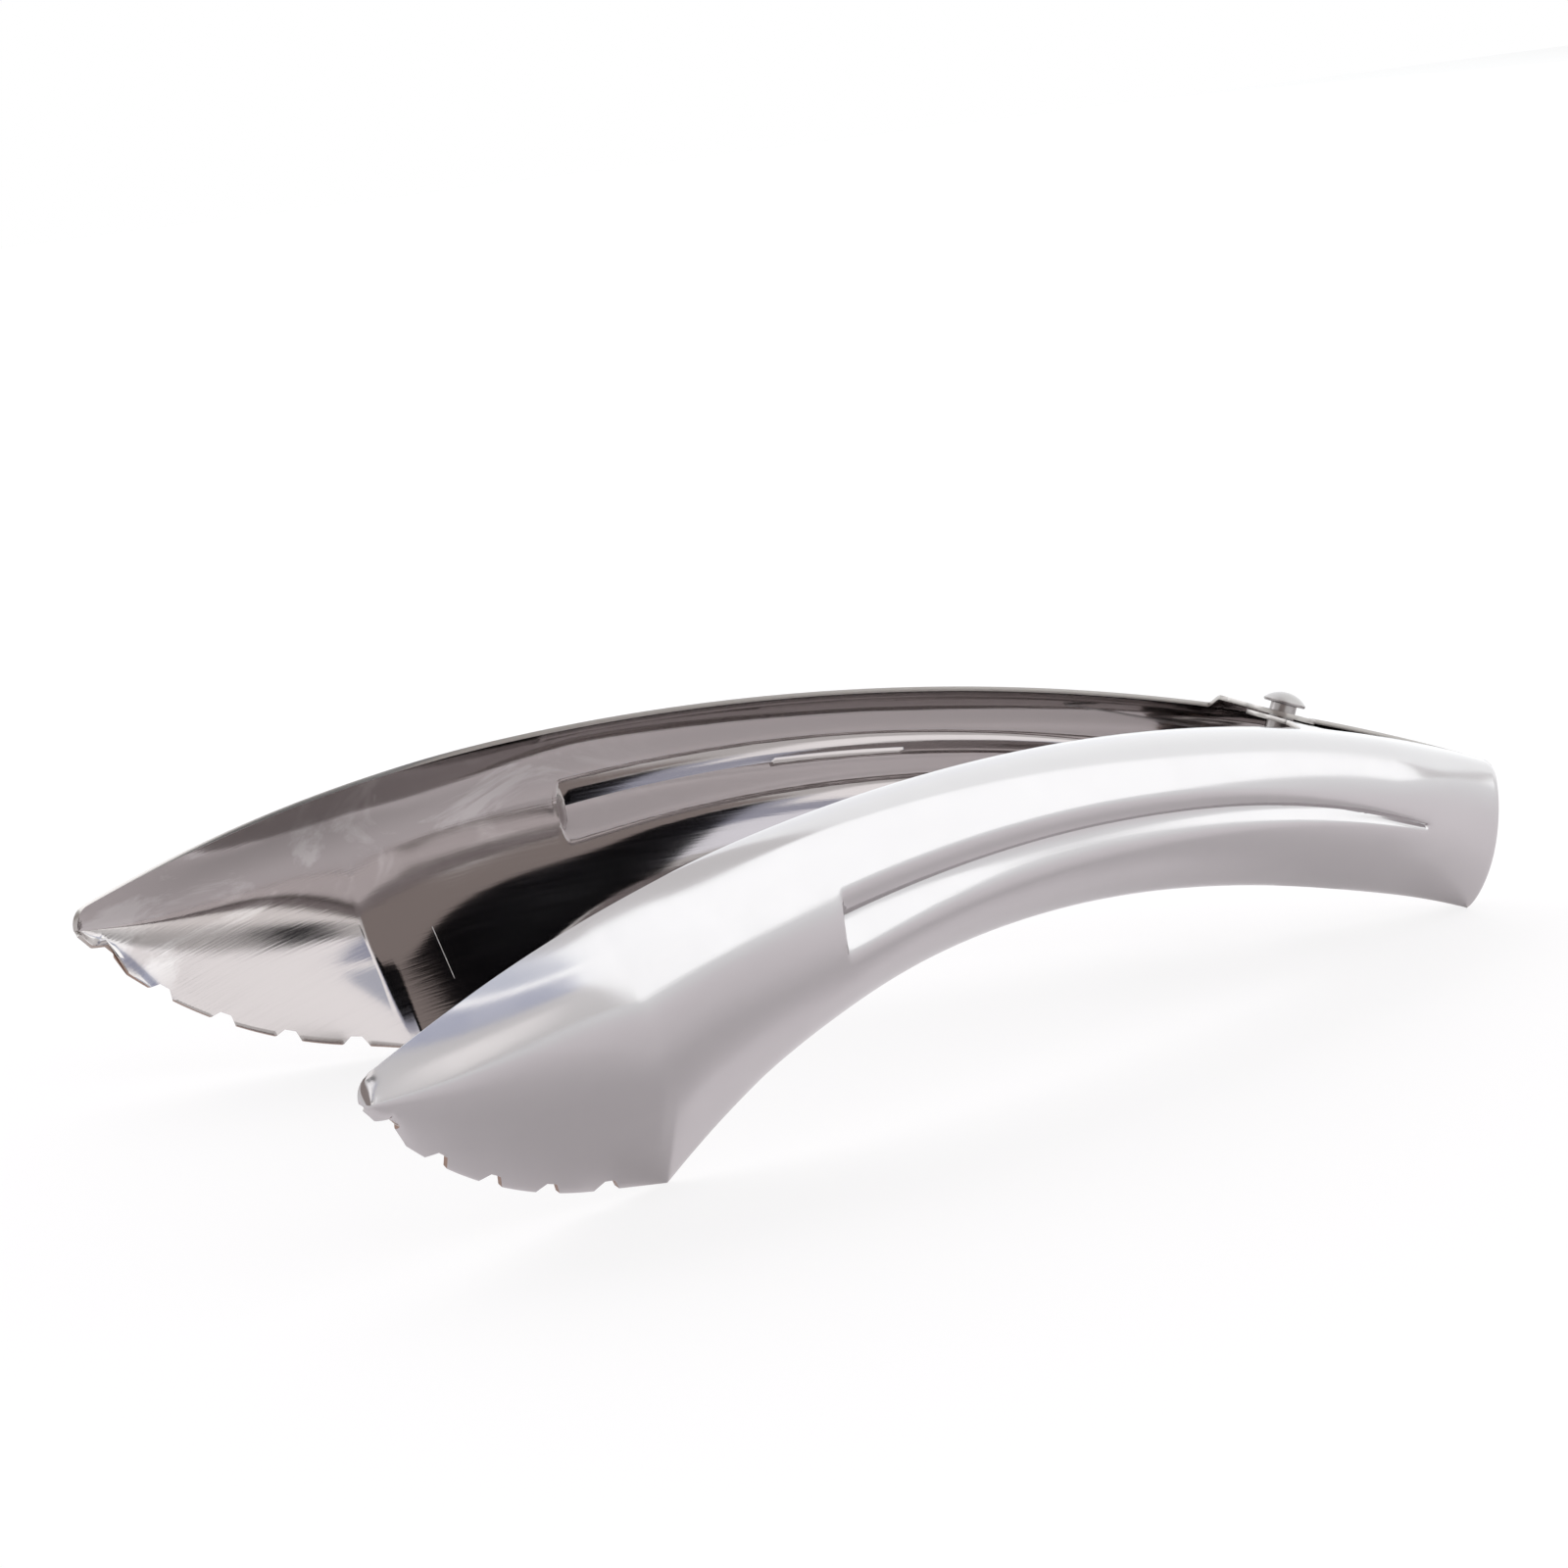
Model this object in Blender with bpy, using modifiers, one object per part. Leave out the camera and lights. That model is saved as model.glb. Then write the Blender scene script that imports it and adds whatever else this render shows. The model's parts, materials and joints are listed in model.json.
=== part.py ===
"""Curved serving tongs: two pressed sheet-steel arms on one rivet, held open by a torsion spring.

Each arm is drawn in its own coordinates.  s runs along the arched top rim from the rear end to
the nose, q runs across the arm from the top rim to the lower rim, and depth is measured outward
from the plane of the rims.  The arms share the rivet's axis, which is the local Z axis of every
object, and the whole assembly leans on its jaw teeth and its rear lower corners.
"""
import math

import bmesh
import bpy
from mathutils import Matrix, Vector

# ---- sheet and arm outline (metres, degrees) ----
sheet = 0.0008                 # thickness of the pressed sheet
rim_radius = 0.3623            # arch of the top rim, seen square to the rim plane
rim_length = 0.2599            # along the top rim, from the rear end to the nose
nose_arch_radius = 0.2551      # the arch tightens towards the nose
nose_arch_start = rim_length - 0.0804
rim_crest = 0.0110             # where along the rim the arch is level with the hinge
rim_crest_height = 0.0152      # of the rim's highest point above the hinge's middle
rear_top_start = 0.0043        # the rear end is cut on a slant: where the top rim starts
rear_bottom_start = -0.0020    # and where the lower rim starts
rear_slant_reach = 0.030       # length over which that slant fades out
rear_width = 0.0248            # arm width at the rear end
palm_width = 0.0255            # arm width where the hand holds it
palm_at = 0.035
waist_width = 0.0247           # narrowest width, ahead of the hand
waist_at = 0.109
flare_at = rim_length - 0.1032  # where the lower rim turns down towards the jaw
flare_slope = 0.388            # how fast the arm widens there, per length of rim
flare_round = 0.0372           # softness of that turn
jaw_edge_radius = 0.0715       # arc of the toothed edge
jaw_edge_centre_s = rim_length - 0.0634
jaw_edge_centre_q = -0.0245    # above the top rim
heel_straight_from = 20.0      # degrees on that arc: the edge runs straight on to the heel
nose_radius = 0.0040           # rounding of the nose
nose_fade = 0.0020             # the pressing falls to the rim over this length round the nose

# ---- depth of the pressing ----
depth_rear = 0.0050            # how far the crown stands out from the rim plane
depth_palm = 0.0075
depth_waist = 0.0100
depth_groove_end = 0.0102
crown_share_rear = 0.40        # crown position across the handle, from the top rim
crown_share_front = 0.50
lower_fullness = 0.80          # 0.5 is an ellipse, 1.0 a parabola, below the crown
flange_depth = 0.0012          # small steep wall along the handle's top rim
flange_run = 0.0015            # how far across the arm that wall's corner reaches
jaw_depth_rear = 0.0102        # how far the jaw's crest stands out at the groove's end
jaw_depth = 0.0092             # and at the apex
jaw_depth_fade = 0.8           # how fast it falls from there to the nose: 1.0 is a straight line
crest_share = 0.79             # crest of the jaw's upper face, from the top rim to the ridge
nose_crest_share = 0.98
face_fullness = 3.0            # curve of that face: 1.0 is flat
nose_fullness = 1.15
apex_s = rim_length - 0.0469   # the jaw's apex, where three pressed faces meet
apex_q = 0.0271
ridge_start_q = 0.0190         # the ridge into the apex starts here, at the groove's end
nose_ridge_q = 0.0034          # where the ridge from the apex runs out at the nose
jaw_blend_start = rim_length - 0.0969  # the handle's round section turns into the jaw from here
jaw_blend_length = 0.040
crest_round_groove = 0.0028    # rounding of the ridge at the groove's end, the apex and the nose
crest_round_apex = 0.0034
crest_round_nose = 0.0010
rear_rim_lift = 0.0013         # the lower rim stands clear of the other arm at the rear
rim_lift = 0.00035
rear_lift_reach = 0.020

# ---- stamped groove ----
groove_tail = 0.0236           # starts as a small dimple near the rear end
groove_head = rim_length - 0.0894  # ends in a short steep wall before the jaw
groove_wall = 0.0012           # length of that end wall
groove_top_q = 0.0078          # the upper edge's nearest approach to the top rim
groove_top_nearest_s = 0.115   # and where that is
groove_top_bend = 0.53         # how the upper edge curves away from there, per metre
groove_bottom_tail_q = 0.0140  # the lower edge starts here and falls away with s
groove_bottom_slope = 0.0183
groove_bottom_bend = 0.25
groove_tail_drop = 0.0010      # depth of the groove at its tail and its head
groove_head_drop = 0.0023
groove_low_point = 0.38        # deepest line of the groove, across its width
groove_shoulder = 1.5          # curve of the wall above that line: 1.0 is flat

# ---- teeth ----
tooth_count = 5                # notches between the teeth
tooth_pitch = 9.3              # degrees on the toothed edge's arc
first_notch = 55.2             # degrees on that arc, from square to the rim towards the nose
notch_mouth = 0.0046
notch_floor = 0.0019
notch_depth = 0.0014
notch_cut_reach = 0.0060       # the cutter reaches this far to each side of the rim plane
notch_cut_over = 0.0015        # and this far past the toothed edge

# ---- hinge ----
half_opening = 15.85           # angle of each rim plane to the plane of symmetry, open
pivot_reach = 0.0468           # rivet axis ahead of the rear ends' meeting line
rear_gap = 0.0003              # between the rear ends at the open stop
shank_radius = 0.0023
shank_clearance = 0.00015
bore_cut_length = 0.060
ear_radius = 0.0060            # rounded end of each ear about the rivet
ear_root = 0.0185              # width of an ear where it leaves the rim
ear_taper = 0.06               # share of that width lost over the step
ear_neck = 0.98                # half width of an ear beside the rivet, in ear radii
ear_neck_behind = 0.40         # and how far before the rivet it is that wide, in ear radii
ear_joggle = 0.0040            # length over which an ear steps from the rim to its level
ear_gap = 0.0003               # between an ear of one arm and its neighbour
top_ear_level = 0.0133         # height of the inner ears' middle, along the rivet axis
bottom_ear_level = -0.0120
head_radius = 0.0037
head_height = 0.0021
head_rim = 0.0005              # thickness of the head at its edge
neck_length = 0.0010           # shank that shows between the head and the top ear
tail_radius = 0.0034
tail_height = 0.0008

# ---- spring ----
wire_radius = 0.0006
coil_clearance = 0.0007        # between the rivet's shank and the coil
coil_radius = shank_radius + coil_clearance + wire_radius
coil_turns = 7
leg_s = 0.074                  # where the legs rest against the arms
near_leg_q = 0.0062
far_leg_q = 0.0205
leg_clearance = 0.0003

# ---- mesh density ----
station_counts = (4, 18, 7, 11)  # steps along the rear, the groove, the neck and the jaw
nose_crowding = 0.7            # the jaw's stations crowd towards the nose
upper_rows = 5                 # between the top rim and the groove's upper edge
upper_crowding = 1.7           # those rows crowd towards the rim
lower_rows = 5                 # between the groove's lower edge, or the ridge, and the lower rim
jaw_middle_share = 0.55        # ahead of the groove its upper edge's row runs here, rim to ridge
ridge_row_least = 0.35         # the ridge's row keeps this share of the width from the top rim
ear_columns = 6
round_steps = 32


def smooth(a, b, x):
    t = min(1.0, max(0.0, (x - a) / (b - a)))
    return t * t * (3 - 2 * t)


def along(stops, s):
    """Smooth value between (place, value) stops."""
    for (a, va), (b, vb) in zip(stops, stops[1:]):
        if s <= b:
            return va + (vb - va) * smooth(a, b, s)
    return stops[-1][1]


def dome(x):
    """Quarter circle that rises from 0 to 1 as x goes from 0 to 1, then stays level."""
    t = 1 - min(1.0, max(0.0, x))
    return math.sqrt(max(0.0, 1 - t * t))


def rim_arch(s):
    """Centre and turn of the rim's arc at s: two arcs that meet in line."""
    ahead, height = rim_crest, rim_crest_height - rim_radius
    if s <= nose_arch_start:
        return ahead, height, rim_radius, (s - rim_crest) / rim_radius
    turn = (nose_arch_start - rim_crest) / rim_radius
    shift = rim_radius - nose_arch_radius
    ahead += shift * math.sin(turn)
    height += shift * math.cos(turn)
    return ahead, height, nose_arch_radius, turn + (s - nose_arch_start) / nose_arch_radius


def plan_point(s, q):
    """A point of the rim plane as (distance ahead of the meeting line, height)."""
    ahead, height, radius, turn = rim_arch(s)
    return ahead + (radius - q) * math.sin(turn), height + (radius - q) * math.cos(turn)


def jaw_edge_frame():
    """Centre of the toothed edge's arc in the rim plane, and the rim's turn there."""
    return plan_point(jaw_edge_centre_s, jaw_edge_centre_q), rim_arch(jaw_edge_centre_s)[3]


def limb_width(s):
    handle = along([(0, rear_width), (palm_at, palm_width), (waist_at, waist_width)], s)
    past = s - flare_at
    return handle + flare_slope * (past + math.hypot(past, flare_round)) / 2


def jaw_width(s):
    """Width down to the toothed edge, an arc that runs out straight to the heel."""
    ahead, height, radius, turn = rim_arch(s)
    (centre_x, centre_y), centre_turn = jaw_edge_frame()
    out_x, out_y = centre_x - ahead, centre_y - height
    along_ray = out_x * math.sin(turn) + out_y * math.cos(turn)
    off_ray = out_x * math.cos(turn) - out_y * math.sin(turn)
    half = math.sqrt(max(0.0, jaw_edge_radius ** 2 - off_ray ** 2))
    reach = along_ray - half
    heel = math.radians(heel_straight_from) - centre_turn
    if reach * math.sin(turn) - out_x < jaw_edge_radius * math.sin(heel):
        reach = (jaw_edge_radius + math.sin(heel) * out_x - math.cos(heel) * out_y) / -math.cos(heel + turn)
    return radius - reach


def arm_width(s):
    return min(limb_width(s), jaw_width(s)) if s > flare_at else limb_width(s)


def ridge_q(s):
    """The ridge from the groove's end to the apex, and on to the nose."""
    if s < apex_s:
        return apex_q + (ridge_start_q - apex_q) * min(1.0, (apex_s - s) / (apex_s - groove_head))
    return apex_q + (nose_ridge_q - apex_q) * (s - apex_s) / (rim_length - apex_s)


def rounded_min(a, b, reach):
    """The lower of two heights, rounded where they are within reach of each other."""
    near = max(0.0, 1 - abs(a - b) / reach)
    return min(a, b) - near * near * reach / 4


def jaw_upper(s, q):
    """Depth of the jaw's upper face, which curves up from the top rim and levels at its crest."""
    ridge = ridge_q(s)
    if s < apex_s:
        depth = along([(groove_head, jaw_depth_rear), (apex_s, jaw_depth)], s)
    else:
        depth = jaw_depth * (ridge / apex_q) ** jaw_depth_fade
    to_nose = smooth(apex_s, rim_length, s)
    crest = crest_share + (nose_crest_share - crest_share) * to_nose
    left = 1 - min(1.0, max(0.0, q / (crest * ridge)))
    fullness = face_fullness + (nose_fullness - face_fullness) * to_nose
    return depth * (1 - left ** fullness)


def surface_depth(s, q):
    """Depth of the pressed sheet's middle, without the groove."""
    width = arm_width(s)
    crown = along([(0, depth_rear), (palm_at, depth_palm), (waist_at, depth_waist),
                   (groove_head, depth_groove_end)], s)
    crown_share = crown_share_rear + (crown_share_front - crown_share_rear) * smooth(waist_at, groove_head, s)
    crown_q = crown_share * width
    handle_upper = flange_depth * dome(q / flange_run) + (crown - flange_depth) * dome(q / crown_q)
    handle_lower = crown * dome((width - q) / (width - crown_q)) ** (2 * lower_fullness)
    ridge = ridge_q(s)
    jaw_lower = jaw_upper(s, ridge) * max(0.0, width - q) / max(width - ridge, 1e-6)
    handle = min(handle_upper, handle_lower)
    crest_round = along([(groove_head, crest_round_groove), (apex_s, crest_round_apex),
                         (rim_length, crest_round_nose)], s)
    jaw = rounded_min(jaw_upper(s, q), jaw_lower, crest_round)
    low = handle + (jaw - handle) * smooth(jaw_blend_start, jaw_blend_start + jaw_blend_length, s)
    if s > rim_length - nose_radius:
        first, last = rim_rows(s)
        low *= dome(min(q - first, last - q) / nose_fade)
    lift = rear_rim_lift + (rim_lift - rear_rim_lift) * smooth(0, rear_lift_reach, s)
    return max(0.0, low) + lift * smooth(0, 1, q / width)


def groove_edges(s):
    """Upper and lower edge of the groove at a station, and how deep it is pressed."""
    place = min(max(s, groove_tail), groove_head)
    run = place - groove_tail
    top = groove_top_q + groove_top_bend * (place - groove_top_nearest_s) ** 2
    bottom = groove_bottom_tail_q + groove_bottom_slope * run + groove_bottom_bend * run ** 2
    drop = groove_tail_drop + (groove_head_drop - groove_tail_drop) * run / (groove_head - groove_tail)
    inside = groove_tail - 1e-6 <= s <= groove_head + 1e-6
    return top, bottom, drop if inside else 0.0


def groove_drop(s, q):
    top, bottom, drop = groove_edges(s)
    x = (q - top) / (bottom - top)
    if x <= 0 or x >= 1:
        return 0.0
    if x < groove_low_point:
        return drop * (x / groove_low_point) ** groove_shoulder
    return drop * (1 - smooth(groove_low_point, 1, x))


def heel_place():
    """Where the limb's lower rim meets the toothed edge."""
    low, high = flare_at, apex_s
    while high - low > 1e-7:
        middle = (low + high) / 2
        low, high = (middle, high) if limb_width(middle) < jaw_width(middle) else (low, middle)
    return low


def stations():
    stops = (0.0, groove_tail - groove_wall, groove_head, apex_s, rim_length)
    places = [0.0]
    for (a, b), count in zip(zip(stops, stops[1:]), station_counts):
        crowding = nose_crowding if a == apex_s else 1.0
        places += [a + (b - a) * ((i + 1) / count) ** crowding for i in range(count)]
    places += [groove_tail, groove_head + groove_wall]
    heel = heel_place()
    places = [p for p in places if abs(p - heel) > 0.0015 or p == apex_s] + [heel]
    last_full = rim_length - nose_radius
    places = [p for p in places if p < last_full - 0.001]
    places += [last_full + nose_radius * math.sin(math.radians(a)) for a in (0, 25, 45, 62, 76)]
    return sorted(places)


def rim_rows(s):
    """q of the top rim and of the lower rim; both turn into the rounded nose."""
    first, last = 0.0, arm_width(s)
    past = s - (rim_length - nose_radius)
    if past > 0:
        half = math.sqrt(max(0.0, nose_radius ** 2 - past ** 2))
        first, last = nose_radius - half, min(last, nose_radius + half)
    return first, last


def row_places(s):
    """q of every row of a station: the rims, the groove's edges and the lines between them."""
    first, last = rim_rows(s)
    top, bottom, _ = groove_edges(s)
    if s > groove_head:
        t = min(1.0, (s - groove_head) / (apex_s - groove_head))
        top = top + (jaw_middle_share * apex_q - top) * t
        bottom = bottom + (apex_q - bottom) * t
    if s > apex_s:
        bottom = min(max(ridge_q(s), first + ridge_row_least * (last - first)), last)
        top = first + jaw_middle_share * (bottom - first)
    spread = [(i / upper_rows) ** upper_crowding for i in range(upper_rows)]
    rows = [first + (top - first) * t for t in spread]
    low_at = top + (bottom - top) * groove_low_point
    rows += [top, (top + low_at) / 2, low_at, (low_at + bottom) / 2]
    rows += [bottom + (last - bottom) * i / lower_rows for i in range(lower_rows + 1)]
    return rows


def arm_point(s, q, side, depth=None):
    """A point of the sheet's middle, in the hinge's coordinates."""
    slant = rear_top_start + (rear_bottom_start - rear_top_start) * q / arm_width(s)
    s_cut = s + slant * max(0.0, 1 - s / rear_slant_reach)
    ahead, height = plan_point(s_cut, q)
    if depth is None:
        depth = surface_depth(s, q) - groove_drop(s, q)
    return hinge_point(ahead, depth, height, side)


def hinge_point(ahead, depth, height, side):
    angle = math.radians(half_opening)
    out = ahead * math.sin(angle) + depth * math.cos(angle) + rear_gap / 2
    return Vector((pivot_reach - ahead * math.cos(angle) + depth * math.sin(angle), side * out, height))


def ear_rows(level, side, rim):
    """Rows of points of one ear, from just inside the rim out past the rivet."""
    angle = math.radians(half_opening)
    pivot_ahead = pivot_reach * math.cos(angle)
    pivot_out = pivot_reach * math.sin(angle) + rear_gap / 2 / math.cos(angle)
    places = [(ear_joggle * t, ear_root / 2 * (1 - ear_taper * t)) for t in (0.3, 0.65, 1.0)]
    neck = pivot_out - ear_radius * ear_neck_behind
    places += [(neck * t, ear_root / 2 + (ear_radius * ear_neck - ear_root / 2) * t) for t in (0.6, 0.8, 1.0)]
    places += [(pivot_out + ear_radius * math.sin(a), ear_radius * math.cos(a))
               for a in (math.radians(d) for d in (4, 28, 48, 65, 80))]
    rows = []
    for reach, half in places:
        row = []
        for i, foot in enumerate(rim):
            height = foot.z + (level - foot.z) * smooth(0, ear_joggle, reach)
            row.append(hinge_point(pivot_ahead + half * (2 * i / ear_columns - 1), -reach, height, side))
        rows.append(row)
    return rows


def build_surface(side, top_level, bottom_level):
    """The arm's open surface: the pressed shell with an ear on each rim."""
    bm = bmesh.new()
    angle = math.radians(half_opening)
    pivot_ahead = pivot_reach * math.cos(angle)
    places = stations()
    ear_centre = rim_crest + rim_radius * math.asin((pivot_ahead - rim_crest) / rim_radius)
    ear_places = [ear_centre + ear_root * (i / ear_columns - 0.5) for i in range(ear_columns + 1)]
    clear = ear_root / ear_columns * 0.7
    places = [p for p in places if p < ear_places[0] - clear or p > ear_places[-1] + clear]
    places = sorted(places + ear_places)
    grid = []
    for s in places:
        grid.append([bm.verts.new(arm_point(s, q, side)) for q in row_places(s)])
    first = places.index(ear_places[0])
    for level, index in ((top_level, 0), (bottom_level, -1)):
        rim = [grid[first + i][index] for i in range(ear_columns + 1)]
        rows = ear_rows(level, side, [v.co for v in rim])
        made = [rim] + [[bm.verts.new(p) for p in row] for row in rows]
        for a, b in zip(made, made[1:]):
            for i in range(ear_columns):
                face = (a[i], a[i + 1], b[i + 1], b[i])
                bm.faces.new(face if (side > 0) == (index == 0) else face[::-1])
    for a, b in zip(grid, grid[1:]):
        for j in range(len(a) - 1):
            face = (a[j], a[j + 1], b[j + 1], b[j])
            bm.faces.new(face if side > 0 else face[::-1])
    mesh = bpy.data.meshes.new("arm_surface")
    bmesh.ops.recalc_face_normals(bm, faces=bm.faces)
    middle = bm.faces[len(bm.faces) // 2]
    if middle.normal.y * side < 0:
        bmesh.ops.reverse_faces(bm, faces=bm.faces)
    bm.to_mesh(mesh)
    bm.free()
    return mesh


def make_material(name, colour, roughness):
    material = bpy.data.materials.new(name)
    material.use_nodes = True
    shader = material.node_tree.nodes["Principled BSDF"]
    shader.inputs["Base Color"].default_value = (*colour, 1)
    shader.inputs["Roughness"].default_value = roughness
    shader.inputs["Metallic"].default_value = 1.0
    material.diffuse_color = (*colour, 1)
    return material


def add_object(name, mesh, collection, parent, material=None):
    thing = bpy.data.objects.new(name, mesh)
    collection.objects.link(thing)
    thing.parent = parent
    if material:
        mesh.materials.append(material)
    return thing


def make_cutter(name, bm, collection, parent):
    mesh = bpy.data.meshes.new(name)
    bmesh.ops.recalc_face_normals(bm, faces=bm.faces)
    bm.to_mesh(mesh)
    bm.free()
    cutter = add_object(name, mesh, collection, parent)
    cutter.hide_render = True
    cutter.display_type = "WIRE"
    return cutter


def cut(thing, cutter):
    boolean = thing.modifiers.new(cutter.name, "BOOLEAN")
    boolean.operation = "DIFFERENCE"
    boolean.solver = "EXACT"
    boolean.object = cutter


def notch_cutter(side, collection, parent):
    """One mesh of separate wedges, one for each notch between the teeth."""
    bm = bmesh.new()
    centre, centre_turn = jaw_edge_frame()
    middle = Vector(centre)
    for i in range(tooth_count):
        turn = math.radians(first_notch - tooth_pitch * i) - centre_turn
        outward = Vector((math.sin(turn), -math.cos(turn)))
        across = Vector((outward.y, -outward.x))
        taper = (notch_mouth - notch_floor) / 2 / notch_depth
        mouth = notch_floor / 2 + taper * (notch_depth + notch_cut_over)
        inner = middle + outward * (jaw_edge_radius - notch_depth)
        outer = middle + outward * (jaw_edge_radius + notch_cut_over)
        loop = [inner + across * (notch_floor / 2), inner - across * (notch_floor / 2),
                outer - across * mouth, outer + across * mouth]
        levels = [[bm.verts.new(hinge_point(p.x, d, p.y, side)) for p in loop]
                  for d in (-notch_cut_reach, notch_cut_reach)]
        bm.faces.new(levels[0])
        bm.faces.new(levels[1][::-1])
        for j in range(4):
            k = (j + 1) % 4
            bm.faces.new((levels[0][j], levels[0][k], levels[1][k], levels[1][j]))
    return make_cutter(f"notch_cutter_{'left' if side > 0 else 'right'}", bm, collection, parent)


def bore_cutter(collection, parent):
    bm = bmesh.new()
    bmesh.ops.create_cone(bm, cap_ends=True, segments=round_steps, radius1=shank_radius + shank_clearance,
                          radius2=shank_radius + shank_clearance, depth=bore_cut_length)
    return make_cutter("rivet_bore_cutter", bm, collection, parent)


def make_arm(name, side, top_level, bottom_level, cutters, parts, parent, material, bore):
    arm = add_object(name, build_surface(side, top_level, bottom_level), parts, parent, material)
    wall = arm.modifiers.new("sheet", "SOLIDIFY")
    wall.thickness = sheet
    wall.offset = 0
    cut(arm, notch_cutter(side, cutters, parent))
    cut(arm, bore)
    return arm


def make_rivet(collection, parent, material, top_face, bottom_face):
    """Turned rivet: a domed head, a plain shank and a flat peened tail."""
    bm = bmesh.new()
    head_under = top_face + ear_gap + neck_length
    edge_top = head_under + head_rim
    sphere = (head_radius ** 2 + (head_height - head_rim) ** 2) / 2 / (head_height - head_rim)
    profile = [(0, head_under + head_height)]
    widest = math.asin(head_radius / sphere)
    for i in range(1, 8):
        a = widest * i / 7
        profile.append((sphere * math.sin(a), edge_top - sphere * math.cos(widest) + sphere * math.cos(a)))
    tail_top = bottom_face - ear_gap
    profile += [(head_radius, head_under + head_rim * 0.5), (head_radius * 0.93, head_under),
                (shank_radius, head_under), (shank_radius, tail_top), (tail_radius, tail_top),
                (tail_radius, tail_top - tail_height * 0.6), (tail_radius * 0.88, tail_top - tail_height),
                (0, tail_top - tail_height)]
    points = [bm.verts.new((r, 0, z)) for r, z in profile]
    for a, b in zip(points, points[1:]):
        bm.edges.new((a, b))
    mesh = bpy.data.meshes.new("rivet_profile")
    bm.to_mesh(mesh)
    bm.free()
    rivet = add_object("hinge_rivet", mesh, collection, parent, material)
    turn = rivet.modifiers.new("turned", "SCREW")
    turn.steps = round_steps
    turn.render_steps = round_steps
    turn.use_merge_vertices = True
    turn.merge_threshold = 0.00001
    return rivet


def leg_target(s, q, side):
    depth = surface_depth(s, q) - groove_drop(s, q) - sheet / 2 - wire_radius - leg_clearance
    return arm_point(s, q, side, depth)


def make_spring(collection, parent, material):
    """Torsion spring: one leg lies in each arm and the coil is wound round the rivet."""
    near = leg_target(leg_s, near_leg_q, -1)
    far = leg_target(leg_s, far_leg_q, 1)
    ends = []
    for target, sign in ((near, 1), (far, -1)):
        distance = math.hypot(target.x, target.y)
        tangent = math.atan2(math.sqrt(distance ** 2 - coil_radius ** 2), coil_radius)
        ends.append(math.atan2(target.y, target.x) + sign * tangent)
    start, end = ends
    sweep = (end - start) % (2 * math.pi) + 2 * math.pi * coil_turns
    steps = 16 * (coil_turns + 1)
    points = [near]
    for i in range(steps + 1):
        a = start + sweep * i / steps
        z = near.z + (far.z - near.z) * i / steps
        points.append(Vector((coil_radius * math.cos(a), coil_radius * math.sin(a), z)))
    points.append(far)
    curve = bpy.data.curves.new("spring_wire", "CURVE")
    curve.dimensions = "3D"
    curve.bevel_depth = wire_radius
    curve.bevel_resolution = 2
    curve.use_fill_caps = True
    spline = curve.splines.new("POLY")
    spline.points.add(len(points) - 1)
    for place, point in zip(spline.points, points):
        place.co = (*point, 1)
    return add_object("torsion_spring", curve, collection, parent, material)


def rest_attitude(points):
    """Turn about Y and shift that stand the points on their two lowest supports."""
    lean = math.radians(20)
    middle = sum(p.x for p in points) / len(points)
    for _ in range(12):
        def height(p):
            return p.z * math.cos(lean) - p.x * math.sin(lean)
        jaw = min((p for p in points if p.x < middle), key=height)
        rear = min((p for p in points if p.x >= middle), key=height)
        lean = math.atan2(rear.z - jaw.z, rear.x - jaw.x)
    turn = Matrix.Rotation(lean, 4, "Y")
    placed = [turn @ p for p in points]
    low_x, high_x = min(p.x for p in placed), max(p.x for p in placed)
    low_z = min(p.z for p in placed)
    return Matrix.Translation((-(low_x + high_x) / 2, 0, -low_z)) @ turn


def main():
    for thing in list(bpy.data.objects):
        bpy.data.objects.remove(thing, do_unlink=True)
    parts = bpy.data.collections.new("serving_tongs")
    cutters = bpy.data.collections.new("cutters")
    bpy.context.scene.collection.children.link(parts)
    bpy.context.scene.collection.children.link(cutters)
    frame = bpy.data.objects.new("rest_frame", None)
    parts.objects.link(frame)

    steel = make_material("polished_steel", (0.78, 0.77, 0.76), 0.12)
    rivet_steel = make_material("rivet_steel", (0.62, 0.60, 0.58), 0.30)
    spring_steel = make_material("spring_steel", (0.55, 0.54, 0.53), 0.25)

    step = sheet + ear_gap
    bore = bore_cutter(cutters, frame)
    top, bottom = top_ear_level + step, bottom_ear_level - step
    left = make_arm("arm_left", 1, top, bottom, cutters, parts, frame, steel, bore)
    make_arm("arm_right", -1, top_ear_level, bottom_ear_level, cutters, parts, frame, steel, bore)
    make_rivet(parts, frame, rivet_steel, top + sheet / 2, bottom - sheet / 2)
    make_spring(parts, frame, spring_steel)

    bpy.context.view_layer.update()
    evaluated = left.evaluated_get(bpy.context.evaluated_depsgraph_get())
    points = [v.co.copy() for v in evaluated.data.vertices]
    frame.matrix_world = rest_attitude(points)


main()
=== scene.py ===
import bpy
import json
import math
from mathutils import Matrix, Quaternion, Vector


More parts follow.
